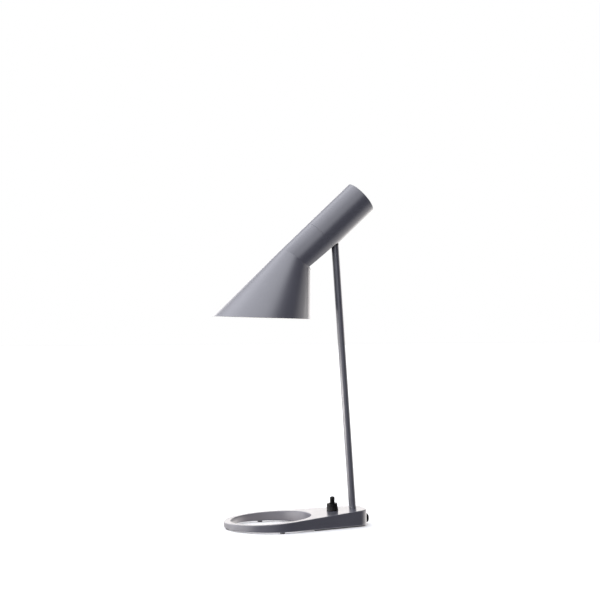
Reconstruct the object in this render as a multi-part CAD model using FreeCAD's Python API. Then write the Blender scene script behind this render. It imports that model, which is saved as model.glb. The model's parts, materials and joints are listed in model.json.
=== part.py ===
import FreeCAD, Part

import math
import os

# Desk lamp with a heavy ring base, a leaning stem and a shade that tilts on the stem's top.
# Millimetres. +Z is up, the shade opens towards -X (the front), and the lamp is symmetric about
# the XZ plane but for the switch and the wiring. Everything is laid out from the centre of the
# ring; CENTRE_X then moves the finished pieces so that the lamp's box is centred on the origin.

# ---- Base: a teardrop wedge with a round hole ----
RING_R = 76.5            # front of the teardrop, and the ring's outside
HOLE_R = 65.3            # the ring's hole
SIDE_ANGLE = 18.0        # each side narrows towards the rear by this angle, degrees
BASE_REAR = 157.6        # flat rear end, from the ring's centre
REAR_CORNER_R = 20.5
FEET_H = 2.2             # the casting's underside stands this high
TOP_AT_RING = 16.4       # height of the sloping top over the ring's centre
SLOPE = 4.0              # the top rises to the rear, and the stem leans forward, degrees
TOP_EDGE_R = 1.2
BOTTOM_EDGE_R = 1.6

POCKET_WALL = 6.0        # wall left round the wiring pocket
POCKET_ROOF = 5.0
POCKET_FRONT = 62.0
COVER_T = 1.5
COVER_INSET = 1.6        # the cover plate's edge stands in from the casting's
COVER_FRONT = 57.0
COVER_HOLE_GAP = 3.0     # and back from the ring's hole
BOSS_R = 5.0
HOLE_FIT = 0.1           # radial, between a fastener or bush and its hole
OVER = 1.0               # how far a cutting shape passes the face that it cuts
COVER_SCREW_R = 1.45
COVER_SCREW_TOP = 11.0
COVER_SCREW_HEAD_R = 3.0
COVER_SCREW_HEAD_H = 1.4
COVER_SCREW_HOLE_TOP = 13.0
DRIVER_SLOT = (0.8, 0.6) # width and depth
FOOT_EDGE_R = 0.5
COVER_SCREWS = [(78.0, -42.0), (78.0, 42.0), (121.5, 0.0)]
REAR_FEET = [(140.0, -22.5), (140.0, 22.5)]
FOOT_R = 3.95
FOOT_HOLE_R = 4.7
RING_MID_R = (RING_R + HOLE_R) / 2

# ---- Stem ----
STEM_X = 139.2           # where its axis meets the sloping top
STEM_R = 6.0
STEM_BORE_R = 4.75
NIPPLE_R = 4.7           # threaded nipple that holds the stem to the base
NIPPLE_BORE_R = 3.2
NIPPLE_IN_STEM = 14.0
NIPPLE_DROP = 14.0       # how far it reaches below the top face
WASHER_R = 9.5
WASHER_T = 1.5
NUT_FLATS = 15.0
NUT_H = 4.5

# ---- Head: a tube and an oblique cone ----
LAMP_H = 560.0           # top corner of the tube's rear end
TUBE_R = 28.9
TUBE_ANGLE = 43.1        # the tube's axis above the horizontal
TUBE_END_X = 153.2       # centre of the tube's rear end
SHEET_T = 1.0
SEAM = 96.0              # joint of shade and rear tube, from the rear end along the axis
CREASE_LOW = 147.6       # where the tube turns into the cone, at its underside
CREASE_TOP = 158.6       # and at its top
RIM_R = 79.7
RIM_X = -16.9            # centre of the rim
RIM_Z = 340.4
RIM_TILT = 1.8           # front of the rim up, degrees
SLOT_REAR = 73.0         # opening in the tube's underside: a channel that the stem tilts in
SLOT_HALF = 7.5
MOUTH_AT = 94.3          # ahead of it a wide mouth: a round end here, then straight sides
MOUTH_R = 16.0
MOUTH_FRONT_HALF = 22.0
SLOT_LIP = 1.0           # the opening stops this short of the crease
SLOT_DEPTH = 20.0        # what is cut reaches this far up from the tube's underside
COLLAR_HALF = 12.0       # joining collar, to each side of the seam
COLLAR_GAP_HALF = 24.0
COLLAR_SCREW_AT = 89.0
COLLAR_SCREW_R = 1.25
COLLAR_HEAD_R = 2.7
COLLAR_SCREW_L = 3.0
CAP_DEPTH = 7.0          # end cap, a cup set into the tube
CAP_T = 1.2
CAP_INSET = 1.5
VENT_COUNT = 10
VENT_R = 2.6
VENT_CIRCLE_R = 17.0

SHIELD_START = 88.0      # light shield inside the opening, along the tube
SHIELD_END = 146.0
SHIELD_START_R = 27.2
SHIELD_END_R = 22.0
SHIELD_T = 0.8
SHIELD_HALF_ANGLE = 56.0
SHIELD_RAIL_ANGLE = 4.0  # its side edges stand out to the tube over this angle
SHIELD_SLOT_HALF = 7.5
SHIELD_SLOT_END = 112.0

# ---- Tilting joint inside the tube ----
PIVOT_LOW = 18.0         # below the tube's axis
FORK_HALF = 6.0          # half width of the fork on the stem
FORK_SLOT_HALF = 2.6
FORK_R = 6.0
FORK_BLOCK_TOP = 7.0     # below the pivot
FORK_BLOCK_BOTTOM = 13.0
FORK_SHANK = 14.0
FORK_BORE_R = 2.2
PIVOT_SCREW_R = 3.0
PIVOT_THREAD_R = 1.95
PIVOT_FIT = 0.05
FRICTION_T = 1.2
CHEEK_T = 1.5
WAVE_T = 0.6
SCREW_HEAD_R = 5.0
SCREW_HEAD_H = 2.0
WEB_OUT = 23.3           # bracket web's upper face, from the tube's axis
WEB_T = 1.5
WEB_START = 46.0         # along the tube from its rear end
PLATE_AT = 101.5         # plate that carries the lampholder
PLATE_LOW = 11.0         # its lower edge, below the axis
STUDS = [51.0, 78.0]
STUD_R = 2.0
STUD_END = 17.5          # from the tube's axis
STUD_NUT_H = 3.0
STUD_NUT_R = 3.6
SPACER_R = 3.5

# ---- Lampholder and bulb, on the tube's axis; places are from the tube's rear end ----
HOLDER_START = 107.0
HOLDER_END = 155.0
HOLDER_R = 19.5
HOLDER_WALL = 2.4
HOLDER_FLOOR = 12.0
HOLDER_REAR_R = 12.0     # its rear end, where its shoulder starts
HOLDER_SHOULDER = 9.0
INSERT_R = 16.0          # ceramic insert
INSERT_BORE_R = 2.0
SHELL_HOLE_R = 6.0       # in the floor of the threaded shell
CONTACT_R = 4.0
CONTACT_PIN_R = 1.9
CONTACT_PIN_L = 4.0
SHELL_R = 14.0
SHELL_T = 0.5
SHELL_L = 24.0
SHELL_AT = 124.0         # rear face of the shell and the contact
NIPPLE2_START = 97.0
NIPPLE2_R = 5.0
NIPPLE2_BORE_R = 3.5
NIPPLE2_NUT = (14.0, 3.0)  # width across flats, height
BULB_CAP_R = 13.2
BULB_CAP_START = 130.0
BULB_CAP_L = 25.0
BULB_CAP_T = 0.6
BULB_TIP_R = 4.5         # the cap's end contact, and the cone up to its straight part
BULB_CONE_R = 10.5
BULB_CONE_L = 4.0
BULB_SHOULDER_L = 5.5
BULB_SOLID_L = 6.5       # the cap is solid this far
BULB_R = 22.5
BULB_END = 209.0
BULB_NECK_R = 12.6
BULB_FLARE = 3.0         # the neck widens by this much before it meets the globe
GLASS_T = 0.8

# ---- Switch ----
SWITCH_X = 104.5
SWITCH_BUSH_R = 6.0
SWITCH_BUSH_TOP = 8.0    # above the base's top
SWITCH_BORE_R = 4.5
SWITCH_BODY = (16.0, 14.0, 11.0)
SWITCH_TAG_X = 5.0
SWITCH_TAG_Y = 3.5
SWITCH_TAG_L = 2.6
SWITCH_TAG_SIZE = (0.8, 3.0)
SWITCH_FLOOR = 2.0
SWITCH_NUT_LOW_R = 9.6
SWITCH_NUT_TOP_R = 8.4
SWITCH_NUT_H = 12.6
SWITCH_MOUTH_R = 6.2
SWITCH_NUT_EDGE = 0.4    # bevel round its top
SWITCH_MOUTH_BEVEL = (0.6, 1.5)
LEVER_PIVOT_H = 4.0      # ball's centre above the base's top
LEVER_BALL_R = 4.42
LEVER_LOW_R = 2.3
LEVER_NECK_R = 3.8
LEVER_TIP_R = 4.1
LEVER_TIP_H = 24.2
LEVER_LEAN = 12.0        # towards -Y at rest
LEVER_TAIL = 9.0
LEVER_TAIL_R = 1.2
LEVER_STRAIGHT = 3.0     # of the low radius, from the ball's centre
LEVER_DOME = 1.2         # bevel round its tip

# ---- Cord inlet and wiring ----
GLAND_Z = 10.0
GLAND_R = 7.75
GLAND_OUT = 8.5          # how far it stands out of the rear end
GLAND_STRAIGHT = 5.0     # its dome starts here
GLAND_SHANK_R = 5.5
GLAND_SHANK_IN = 11.0
GLAND_BORE_R = 3.3
GLAND_NUT_FLATS = 13.5
GLAND_NUT_H = 3.0
LEAD_R = 1.6
LEAD_GAP = 1.5           # each lead stops this short of the pivot
LEAD_RISE = 34.0         # the head lead's first corner, beyond the pivot
LEAD_TOP = 15.0          # and its second, above the tube's axis
WIRE_R = 1.1
BLOCK_AT = (110.0, 25.0)
BLOCK_SIZE = (18.0, 13.0, 9.0)
BLOCK_GAP = 0.5
BLOCK_WAY = 3.2          # each way of the block, to the side of its middle
BLOCK_WAY_H = 5.0        # and above its foot
BLOCK_WAY_R = 1.5
BLOCK_SCREW_X = 5.0      # screws, to each side of the block's middle
BLOCK_SCREW_R = 1.5
BLOCK_SCREW_Z = (0.5, 3.2)
EARTH_AT = (96.0, -27.0)
EARTH_TAG_R = 4.0
EARTH_TAG_T = 0.8
EARTH_HEAD_R = 3.0
EARTH_HEAD_H = 2.2

Vec = FreeCAD.Vector
Y_AXIS = Vec(0, 1, 0)
UP = Vec(0, 0, 1)


def rotation_about_y(angle):
    return FreeCAD.Rotation(Y_AXIS, angle)


def top_height(x):
    """Height of the base's sloping top at x."""
    return TOP_AT_RING + x * math.tan(math.radians(SLOPE))


TUBE_END = Vec(TUBE_END_X, 0, LAMP_H - TUBE_R * math.cos(math.radians(TUBE_ANGLE)))
# Head frame: X is away from the stem, square to the tube; Z runs down the tube to the shade.
HEAD = FreeCAD.Placement(TUBE_END, rotation_about_y(-90 - TUBE_ANGLE))
# Stem frame: origin where the stem meets the base, Z up the stem.
STEM = FreeCAD.Placement(Vec(STEM_X, 0, top_height(STEM_X)), rotation_about_y(-SLOPE))
# Switch frame: origin on the base's top, Z square to it.
SWITCH = FreeCAD.Placement(Vec(SWITCH_X, 0, top_height(SWITCH_X)), rotation_about_y(-SLOPE))

rim_front = RIM_X - RIM_R * math.cos(math.radians(RIM_TILT))
tube_low_corner = TUBE_END_X + TUBE_R * math.sin(math.radians(TUBE_ANGLE))
CENTRE_X = (rim_front + tube_low_corner) / 2


def find_pivot():
    """The pivot's place along the tube and along the stem, where the stem's axis reaches it."""
    to_head = HEAD.inverse()
    foot = to_head.multVec(STEM.Base)
    rise = to_head.Rotation.multVec(STEM.Rotation.multVec(UP))
    up_stem = (-PIVOT_LOW - foot.x) / rise.x
    return foot.z + up_stem * rise.z, up_stem


PIVOT_ON_TUBE, STEM_TO_PIVOT = find_pivot()
PIVOT = STEM.multVec(Vec(0, 0, STEM_TO_PIVOT))


# ---- Helpers ----

def cylinder(radius, low, high, x=0.0, y=0.0):
    return Part.makeCylinder(radius, high - low, Vec(x, y, low))


def tube(outer, inner, low, high, x=0.0, y=0.0):
    return cylinder(outer, low, high, x, y).cut(cylinder(inner, low - 1, high + 1, x, y))


def cross_cylinder(radius, y_from, y_to, x=0.0, z=0.0):
    """A cylinder along Y."""
    return Part.makeCylinder(radius, y_to - y_from, Vec(x, y_from, z), Y_AXIS)


def box(x_from, x_to, y_from, y_to, z_from, z_to):
    return Part.makeBox(x_to - x_from, y_to - y_from, z_to - z_from, Vec(x_from, y_from, z_from))


def union(first, *others):
    shape = first
    for other in others:
        shape = shape.fuse(other)
    return shape.removeSplitter()


def turned(points):
    """A solid of revolution about Z from (radius, z) corners."""
    wire = Part.makePolygon([Vec(r, 0, z) for r, z in points + points[:1]])
    return Part.Face(wire).revolve(Vec(0, 0, 0), UP, 360)


def hexagon(flats, low, high, bore):
    """A nut along Z, two of its flats square to X."""
    corner_r = flats / math.sqrt(3)
    turns = [math.radians(30 + 60 * i) for i in range(6)]
    corners = [Vec(corner_r * math.cos(turn), corner_r * math.sin(turn), low) for turn in turns]
    block = Part.Face(Part.makePolygon(corners + corners[:1])).extrude(Vec(0, 0, high - low))
    return block.cut(cylinder(bore, low - 1, high + 1))


def mirrored(shape):
    """The shape and its mirror image across the lamp's middle plane, as separate solids."""
    return Part.makeCompound([shape, shape.mirror(Vec(0, 0, 0), Y_AXIS)])


def placed(shape, placement):
    result = shape.copy()
    result.Placement = placement.multiply(shape.Placement)
    return result


def bent_tube(radius, points, bends):
    """A round lead through points, with an arc of the given radius at each inner point."""
    edges = []
    start = points[0]
    for before, corner, after, bend in zip(points, points[1:], points[2:], bends):
        to_back = (before - corner).normalize()
        to_next = (after - corner).normalize()
        half_turn = (math.pi - to_back.getAngle(to_next)) / 2
        leg = bend * math.tan(half_turn)
        arc_in = corner + to_back * leg
        arc_out = corner + to_next * leg
        bisector = (to_back + to_next).normalize()
        middle = corner + bisector * (bend / math.cos(half_turn) - bend)
        edges.append(Part.LineSegment(start, arc_in).toShape())
        edges.append(Part.Arc(arc_in, middle, arc_out).toShape())
        start = arc_out
    edges.append(Part.LineSegment(start, points[-1]).toShape())
    path = Part.Wire(edges)
    section = Part.Wire(Part.makeCircle(radius, points[0], points[1] - points[0]))
    return path.makePipeShell([section], True, False)


# ---- Base ----

def teardrop(inset, low, high):
    """The base's outline, set in by inset, as an upright block."""
    side = math.radians(SIDE_ANGLE)
    ring = RING_R - inset
    corner = REAR_CORNER_R - inset
    rear = BASE_REAR - inset
    corner_x = rear - corner
    corner_y = (ring - corner - math.sin(side) * corner_x) / math.cos(side)
    lean = Vec(math.sin(side), math.cos(side), 0)
    diagonal = Vec(math.cos((math.pi / 2 - side) / 2), math.sin((math.pi / 2 - side) / 2), 0)
    centre = Vec(corner_x, corner_y, 0)
    left = [lean * ring, centre + lean * corner, centre + diagonal * corner, Vec(rear, corner_y, 0)]
    right = [Vec(p.x, -p.y, 0) for p in left]
    edges = [
        Part.Arc(right[0], Vec(-ring, 0, 0), left[0]).toShape(),
        Part.LineSegment(left[0], left[1]).toShape(),
        Part.Arc(left[1], left[2], left[3]).toShape(),
        Part.LineSegment(left[3], right[3]).toShape(),
        Part.Arc(right[3], right[2], right[1]).toShape(),
        Part.LineSegment(right[1], right[0]).toShape()]
    face = Part.Face(Part.Wire(edges))
    face.translate(Vec(0, 0, low))
    return face.extrude(Vec(0, 0, high - low))


def under_slope(depth):
    """Everything below a plane parallel to the base's top and this far under it."""
    reach = 300.0
    block = box(-reach, reach, -reach, reach, -reach, -depth)
    return placed(block, FreeCAD.Placement(Vec(0, 0, TOP_AT_RING), rotation_about_y(-SLOPE)))


def edges_on_top(shape):
    normal = rotation_about_y(-SLOPE).multVec(UP)
    level = normal.z * TOP_AT_RING
    return [e for e in shape.Edges
            if all(abs(v.Point.dot(normal) - level) < 1e-4 for v in e.Vertexes)]


def edges_at_height(shape, height):
    return [e for e in shape.Edges if all(abs(v.Z - height) < 1e-4 for v in e.Vertexes)]


def base_casting():
    sky = 2 * top_height(BASE_REAR)
    body = teardrop(0.0, FEET_H, sky).common(under_slope(0.0))
    body = body.cut(cylinder(HOLE_R, 0, sky))
    body = body.makeFillet(TOP_EDGE_R, edges_on_top(body))
    body = body.makeFillet(BOTTOM_EDGE_R, edges_at_height(body, FEET_H))
    pocket = teardrop(POCKET_WALL, 0.0, sky).common(under_slope(POCKET_ROOF))
    pocket = pocket.cut(cylinder(HOLE_R + POCKET_WALL, -OVER, sky))
    pocket = pocket.cut(box(-RING_R, POCKET_FRONT, -RING_R, RING_R, -OVER, sky))
    for x, y in COVER_SCREWS + REAR_FEET:
        pocket = pocket.cut(cylinder(BOSS_R, -OVER, top_height(x), x, y))
    body = body.cut(pocket)
    for x, y in COVER_SCREWS:
        body = body.cut(cylinder(COVER_SCREW_R, 0, COVER_SCREW_HOLE_TOP, x, y))
    through = (-NIPPLE_DROP - OVER, OVER)
    body = body.cut(placed(cylinder(NIPPLE_R + HOLE_FIT, *through), STEM))
    body = body.cut(placed(cylinder(SWITCH_BUSH_R + HOLE_FIT, *through), SWITCH))
    return body.cut(along_x(cylinder(GLAND_SHANK_R + HOLE_FIT, -GLAND_SHANK_IN, OVER)))


def bottom_cover():
    low = FEET_H - COVER_T
    plate = teardrop(COVER_INSET, low, FEET_H)
    plate = plate.cut(box(-RING_R, COVER_FRONT, -RING_R, RING_R, -OVER, FEET_H + OVER))
    plate = plate.cut(cylinder(HOLE_R + COVER_HOLE_GAP, -OVER, FEET_H + OVER))
    for x, y in COVER_SCREWS:
        plate = plate.cut(cover_screw_head(x, y, HOLE_FIT))
        plate = plate.cut(cylinder(COVER_SCREW_R + HOLE_FIT, low, FEET_H + OVER, x, y))
    for x, y in REAR_FEET:
        plate = plate.cut(cylinder(FOOT_HOLE_R, -OVER, FEET_H + OVER, x, y))
    return plate


def cover_screw_head(x, y, fit):
    """Countersunk head, flush with the cover; fit is added all round."""
    return Part.makeCone(COVER_SCREW_HEAD_R + fit, COVER_SCREW_R + fit, COVER_SCREW_HEAD_H,
                         Vec(x, y, FEET_H - COVER_T))


def cover_screws():
    low = FEET_H - COVER_T
    slot_width, slot_depth = DRIVER_SLOT
    reach = COVER_SCREW_HEAD_R + OVER
    screws = []
    for x, y in COVER_SCREWS:
        shank = cylinder(COVER_SCREW_R, low + COVER_SCREW_HEAD_H, COVER_SCREW_TOP, x, y)
        slot = box(x - reach, x + reach, y - slot_width / 2, y + slot_width / 2,
                   low - OVER, low + slot_depth)
        screws.append(cover_screw_head(x, y, 0.0).fuse(shank).cut(slot))
    return Part.makeCompound(screws)


def feet():
    places = [(0.0, -RING_MID_R), (0.0, RING_MID_R), (-RING_MID_R, 0.0)] + REAR_FEET
    pads = []
    for x, y in places:
        pad = cylinder(FOOT_R, 0, FEET_H, x, y)
        pads.append(pad.makeFillet(FOOT_EDGE_R, edges_at_height(pad, 0.0)))
    return Part.makeCompound(pads)


# ---- Stem and tilting joint ----

def stem_tube():
    return placed(tube(STEM_R, STEM_BORE_R, 0, STEM_TO_PIVOT - FORK_BLOCK_BOTTOM), STEM)


def stem_nipple():
    return placed(tube(NIPPLE_R, NIPPLE_BORE_R, -NIPPLE_DROP, NIPPLE_IN_STEM), STEM)


def stem_washer():
    return placed(tube(WASHER_R, NIPPLE_R + HOLE_FIT, -POCKET_ROOF - WASHER_T, -POCKET_ROOF), STEM)


def stem_nut():
    top = -POCKET_ROOF - WASHER_T
    return placed(hexagon(NUT_FLATS, top - NUT_H, top, NIPPLE_R), STEM)


def stem_fork():
    """Pressed into the stem's top; the lead comes up through it, between its two cheeks."""
    block_top = STEM_TO_PIVOT - FORK_BLOCK_TOP
    block_low = STEM_TO_PIVOT - FORK_BLOCK_BOTTOM
    shank = cylinder(STEM_BORE_R, block_low - FORK_SHANK, block_low)
    block = cylinder(FORK_HALF, block_low, block_top)
    cheek = box(-FORK_R, FORK_R, -FORK_HALF, FORK_HALF, block_top, STEM_TO_PIVOT)
    cheek = cheek.fuse(cross_cylinder(FORK_R, -FORK_HALF, FORK_HALF, 0, STEM_TO_PIVOT))
    gap = box(-FORK_R - OVER, FORK_R + OVER, -FORK_SLOT_HALF, FORK_SLOT_HALF,
              block_top, STEM_TO_PIVOT + FORK_R + OVER)
    body = union(shank, block, cheek)
    body = body.cut(gap).cut(cylinder(FORK_BORE_R, 0, block_top))
    wide = FORK_HALF + OVER
    return placed(body.cut(cross_cylinder(PIVOT_THREAD_R, -wide, wide, 0, STEM_TO_PIVOT)), STEM)


def at_pivot(shape):
    """Put a piece built round the Y axis at the pivot."""
    return placed(shape, FreeCAD.Placement(PIVOT, FreeCAD.Rotation()))


def cross_ring(outer, y_from, y_to):
    """A washer along Y that the pivot screw's shoulder passes through."""
    ring = cross_cylinder(outer, y_from, y_to)
    return ring.cut(cross_cylinder(PIVOT_SCREW_R, y_from - OVER, y_to + OVER))


def friction_washers():
    return at_pivot(mirrored(cross_ring(FORK_R, FORK_HALF, FORK_HALF + FRICTION_T)))


CHEEK_IN = FORK_HALF + FRICTION_T + PIVOT_FIT
CHEEK_OUT = CHEEK_IN + CHEEK_T


def wave_washers():
    low = CHEEK_OUT + PIVOT_FIT
    return at_pivot(mirrored(cross_ring(SCREW_HEAD_R, low, low + WAVE_T)))


def pivot_screws():
    seat = CHEEK_OUT + PIVOT_FIT + WAVE_T
    thread = cross_cylinder(PIVOT_THREAD_R, FORK_SLOT_HALF + HOLE_FIT, FORK_HALF)
    shoulder = cross_cylinder(PIVOT_SCREW_R, FORK_HALF, seat)
    head = cross_cylinder(SCREW_HEAD_R, seat, seat + SCREW_HEAD_H)
    slot_width, slot_depth = DRIVER_SLOT
    top = seat + SCREW_HEAD_H
    wide = SCREW_HEAD_R + OVER
    slot = box(-wide, wide, top - slot_depth, top + OVER, -slot_width / 2, slot_width / 2)
    return at_pivot(mirrored(union(thread, shoulder, head).cut(slot)))


# ---- Head ----

def rim_circle(radius):
    """The rim as a closed curve that starts at the lamp's front, in the row's axes."""
    tilt = rotation_about_y(RIM_TILT)
    circle = Part.Circle()
    circle.Radius = radius
    edge = circle.toShape()
    spin = FreeCAD.Rotation(UP, 180)
    edge.Placement = FreeCAD.Placement(Vec(RIM_X, 0, RIM_Z), tilt.multiply(spin))
    return edge


def crease_ellipse(radius, low, top):
    """Where the tube meets the cone: a slanting cut across the tube, from its top round."""
    centre = Vec(0, 0, (low + top) / 2)
    top_end = centre + Vec(radius, 0, (top - low) / 2)
    side_end = centre + Vec(0, radius, 0)
    return Part.Ellipse(top_end, side_end, centre).toShape()


def head_solid(tube_radius, rim_radius, start):
    """Tube from start to the crease, and the cone from the crease to the rim, as one solid."""
    low = CREASE_LOW + 0.45 * (TUBE_R - tube_radius)
    ellipse = crease_ellipse(tube_radius, low, CREASE_TOP)
    rim = placed(rim_circle(rim_radius), HEAD.inverse())
    cone = Part.makeLoft([Part.Wire(ellipse), Part.Wire(rim)], True, True)
    wedge = behind_crease(tube_radius, start, low, CREASE_TOP)
    return cylinder(tube_radius, start, CREASE_TOP + TUBE_R).common(wedge).fuse(cone)


def behind_crease(radius, start, low, top):
    """A block from start to the plane that meets a tube of this radius at low and at top."""
    wide = radius + 1
    middle = (low + top) / 2
    rise = (top - low) / 2 * wide / radius
    corners = [Vec(-wide, -wide, start), Vec(wide, -wide, start),
               Vec(wide, -wide, middle + rise), Vec(-wide, -wide, middle - rise)]
    return Part.Face(Part.makePolygon(corners + corners[:1])).extrude(Vec(0, 2 * wide, 0))


def slot_prism(corners):
    """A block through the tube's underside, over (y, s) corners."""
    points = [Vec(-TUBE_R, y, s) for y, s in corners]
    return Part.Face(Part.makePolygon(points + points[:1])).extrude(Vec(SLOT_DEPTH, 0, 0))


def slot_round(radius, place):
    return Part.makeCylinder(radius, SLOT_DEPTH, Vec(-TUBE_R, 0, place), Vec(1, 0, 0))


def stem_slot():
    """What the opening cuts out of the tube."""
    channel_end = SLOT_REAR + SLOT_HALF
    front = CREASE_TOP
    channel = slot_prism([(-SLOT_HALF, channel_end), (SLOT_HALF, channel_end),
                          (SLOT_HALF, MOUTH_AT), (-SLOT_HALF, MOUTH_AT)])
    mouth = slot_prism([(-MOUTH_R, MOUTH_AT), (MOUTH_R, MOUTH_AT),
                        (MOUTH_FRONT_HALF, front), (-MOUTH_FRONT_HALF, front)])
    cut = channel.fuse([slot_round(SLOT_HALF, channel_end), slot_round(MOUTH_R, MOUTH_AT), mouth])
    return cut.common(behind_crease(TUBE_R, 0, CREASE_LOW - SLOT_LIP, CREASE_TOP - SLOT_LIP))


def rim_opening(radius):
    """A thin disc under the rim, which cuts the inside open."""
    drop = rotation_about_y(RIM_TILT).multVec(Vec(0, 0, -2))
    disc = Part.Face(Part.Wire(rim_circle(radius))).extrude(drop)
    return placed(disc, HEAD.inverse())


def shade():
    """The spun cone and the front of the tube, one sheet."""
    inner_rim = RIM_R - SHEET_T
    outer = head_solid(TUBE_R, RIM_R, SEAM)
    inner = head_solid(TUBE_R - SHEET_T, inner_rim, SEAM - 1).fuse(rim_opening(inner_rim))
    return placed(outer.cut(inner).cut(stem_slot()), HEAD)


def rear_tube():
    """With two welded studs inside its top for the pivot bracket."""
    body = tube(TUBE_R, TUBE_R - SHEET_T, 0, SEAM).cut(stem_slot())
    for place in STUDS:
        stud = Part.makeCylinder(STUD_R, TUBE_R - SHEET_T / 2 - STUD_END, Vec(STUD_END, 0, place),
                                 Vec(1, 0, 0))
        body = body.fuse(stud)
    return placed(body.cut(collar_screw_solid(1.5 * SHEET_T)), HEAD)


def joining_collar():
    outer = TUBE_R - SHEET_T
    ring = tube(outer, outer - SHEET_T, SEAM - COLLAR_HALF, SEAM + COLLAR_HALF)
    gap = box(-TUBE_R, 0, -COLLAR_GAP_HALF, COLLAR_GAP_HALF,
              SEAM - COLLAR_HALF - OVER, SEAM + COLLAR_HALF + OVER)
    return placed(ring.cut(gap).cut(collar_screw_solid(SHEET_T)), HEAD)


def slot_shield():
    """A sheet set inside the opening ahead of the stem, narrowing towards the lampholder."""
    start, end = SHIELD_START, SHIELD_END
    sheet = turned([(SHIELD_START_R, start), (SHIELD_END_R, end),
                    (SHIELD_END_R - SHIELD_T, end), (SHIELD_START_R - SHIELD_T, start)])
    rail = turned([(TUBE_R - SHEET_T, start), (TUBE_R - SHEET_T, end),
                   (SHIELD_END_R - SHIELD_T, end), (SHIELD_START_R - SHIELD_T, start)])
    between = sector(SHIELD_HALF_ANGLE - SHIELD_RAIL_ANGLE, start, end)
    body = sheet.common(between).fuse(rail.common(sector(SHIELD_HALF_ANGLE, start, end).cut(between)))
    stem_way = box(-TUBE_R, 0, -SHIELD_SLOT_HALF, SHIELD_SLOT_HALF, 0, SHIELD_SLOT_END)
    return placed(body.removeSplitter().cut(stem_way), HEAD)


def sector(half_angle, start, end):
    """A wedge of the tube's inside that opens towards its underside."""
    turn = math.radians(half_angle)
    reach = 2 * TUBE_R
    corners = [Vec(0, 0, start), Vec(-reach * math.cos(turn), -reach * math.sin(turn), start),
               Vec(-reach * math.cos(turn), reach * math.sin(turn), start)]
    return Part.Face(Part.makePolygon(corners + corners[:1])).extrude(Vec(0, 0, end - start))


def collar_screw_solid(height):
    """Countersunk screw on top of the tube, in the head frame; height is its head's."""
    inside = Vec(TUBE_R - SHEET_T, 0, COLLAR_SCREW_AT)
    slope = (COLLAR_HEAD_R - COLLAR_SCREW_R) / SHEET_T
    head = Part.makeCone(COLLAR_SCREW_R, COLLAR_SCREW_R + slope * height, height, inside, Vec(1, 0, 0))
    shank = Part.makeCylinder(COLLAR_SCREW_R, COLLAR_SCREW_L, inside, Vec(-1, 0, 0))
    return head.fuse(shank)


def collar_screw():
    """Through the rear tube into the collar, its head flush with the tube."""
    return placed(collar_screw_solid(0.85 * SHEET_T), HEAD)


def end_cap():
    """A shallow cup pushed into the tube's end, with a ring of vents in its floor."""
    outer = TUBE_R - SHEET_T
    cup = tube(outer, outer - CAP_T, CAP_INSET, CAP_DEPTH)
    cup = cup.fuse(cylinder(outer - CAP_T, CAP_DEPTH - CAP_T, CAP_DEPTH))
    for i in range(VENT_COUNT):
        turn = 2 * math.pi * i / VENT_COUNT
        x = VENT_CIRCLE_R * math.cos(turn)
        y = VENT_CIRCLE_R * math.sin(turn)
        cup = cup.cut(cylinder(VENT_R, 0, CAP_DEPTH + 1, x, y))
    return placed(cup.removeSplitter(), HEAD)


def pivot_bracket():
    """A folded plate: a web along the tube's top, two cheeks to the pivot, one end plate."""
    web = box(WEB_OUT - WEB_T, WEB_OUT, -CHEEK_OUT, CHEEK_OUT, WEB_START, PLATE_AT + WEB_T)
    plate = box(-PLATE_LOW, WEB_OUT, -CHEEK_OUT, CHEEK_OUT, PLATE_AT, PLATE_AT + WEB_T)
    plate = plate.cut(cylinder(NIPPLE2_R, 0, LAMP_H))
    low, at = -PIVOT_LOW, PIVOT_ON_TUBE
    side = box(low, WEB_OUT, CHEEK_IN, CHEEK_OUT, at - FORK_R, at + FORK_R)
    side = side.fuse(cross_cylinder(FORK_R, CHEEK_IN, CHEEK_OUT, low, at))
    side = side.cut(cross_cylinder(PIVOT_SCREW_R + PIVOT_FIT, 0, TUBE_R, low, at))
    body = union(web, plate, side, side.mirror(Vec(0, 0, 0), Y_AXIS))
    for place in STUDS:
        body = body.cut(Part.makeCylinder(STUD_R, TUBE_R, Vec(STUD_END, 0, place), Vec(1, 0, 0)))
    return placed(body, HEAD)


def on_studs(outer, low, high):
    """A ring round each stud, from low to high above the tube's axis."""
    rings = []
    for place in STUDS:
        ring = Part.makeCylinder(outer, high - low, Vec(low, 0, place), Vec(1, 0, 0))
        rings.append(ring.cut(Part.makeCylinder(STUD_R, TUBE_R, Vec(0, 0, place), Vec(1, 0, 0))))
    return placed(Part.makeCompound(rings), HEAD)


def bracket_spacers():
    return on_studs(SPACER_R, WEB_OUT, math.sqrt((TUBE_R - SHEET_T) ** 2 - SPACER_R ** 2))


def bracket_nuts():
    return on_studs(STUD_NUT_R, WEB_OUT - WEB_T - STUD_NUT_H, WEB_OUT - WEB_T)


# ---- Lampholder and bulb ----

def lampholder_nipple():
    return placed(tube(NIPPLE2_R, NIPPLE2_BORE_R, NIPPLE2_START, HOLDER_START + HOLDER_FLOOR), HEAD)


def nipple_nuts():
    flats, height = NIPPLE2_NUT
    rear = hexagon(flats, PLATE_AT - height, PLATE_AT, NIPPLE2_R)
    front = hexagon(flats, PLATE_AT + WEB_T, PLATE_AT + WEB_T + height, NIPPLE2_R)
    return placed(Part.makeCompound([rear, front]), HEAD)


def lampholder_body():
    inner = HOLDER_R - HOLDER_WALL
    profile = [
        (NIPPLE2_R, HOLDER_START), (HOLDER_REAR_R, HOLDER_START),
        (HOLDER_R, HOLDER_START + HOLDER_SHOULDER),
        (HOLDER_R, HOLDER_END), (inner, HOLDER_END), (inner, HOLDER_START + HOLDER_FLOOR),
        (NIPPLE2_R, HOLDER_START + HOLDER_FLOOR)]
    return placed(turned(profile), HEAD)


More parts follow.
